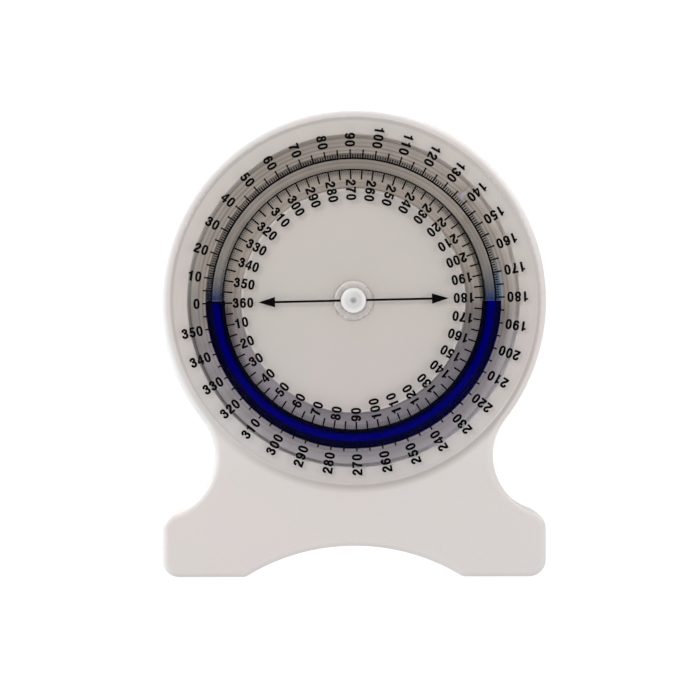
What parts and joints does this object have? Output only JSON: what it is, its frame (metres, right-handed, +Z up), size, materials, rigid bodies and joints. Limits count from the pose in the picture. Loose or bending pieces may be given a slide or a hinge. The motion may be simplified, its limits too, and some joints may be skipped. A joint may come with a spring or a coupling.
{
  "type": "inclinometer",
  "caption": "Hand-held fluid inclinometer: white stand with rounded feet, clear turning degree dial and a ring channel partly filled with blue liquid.",
  "frame": {"origin": "on the resting plane under the middle of the feet, midway through the depth", "axes": "+Z up, +X to the right as seen from the dial side, the dial faces -Y"},
  "size_m": [0.1016, 0.02, 0.1236],
  "materials": {
    "white_abs": "fine satin injection-moulded ABS",
    "clear_acrylic": "clear polished acrylic",
    "blue_liquid": "deep blue dyed liquid",
    "plug_plastic": "smooth, faintly blue",
    "white_acetal": "smooth white",
    "slip_plastic": "waxy white",
    "plated_steel": "zinc plated",
    "spring_steel": "oiled spring steel",
    "scale_ink": "printed black ink"
  },
  "bodies": {
    "base": {"front_housing": "white_abs", "rear_cover": "white_abs", "cover_screws": "plated_steel"},
    "dial": {"dial_lens": "clear_acrylic", "channel_ring": "clear_acrylic", "fill_plug": "plug_plastic", "hub_pin": "white_acetal", "front_washer": "slip_plastic", "rear_washer": "plated_steel", "spring_washer": "spring_steel", "retaining_ring": "spring_steel"},
    "fluid": {"indicator_fluid": "blue_liquid"}
  },
  "joints": [
    {"name": "dial_turn", "type": "hinge", "parent": "base", "child": "dial", "pos_m": [0, -0.004, 0.0728], "axis": [0, -1, 0], "continuous": true},
    {"name": "fluid_level", "type": "hinge", "parent": "base", "child": "fluid", "pos_m": [0, -0.004, 0.0728], "axis": [0, -1, 0], "continuous": true}
  ]
}
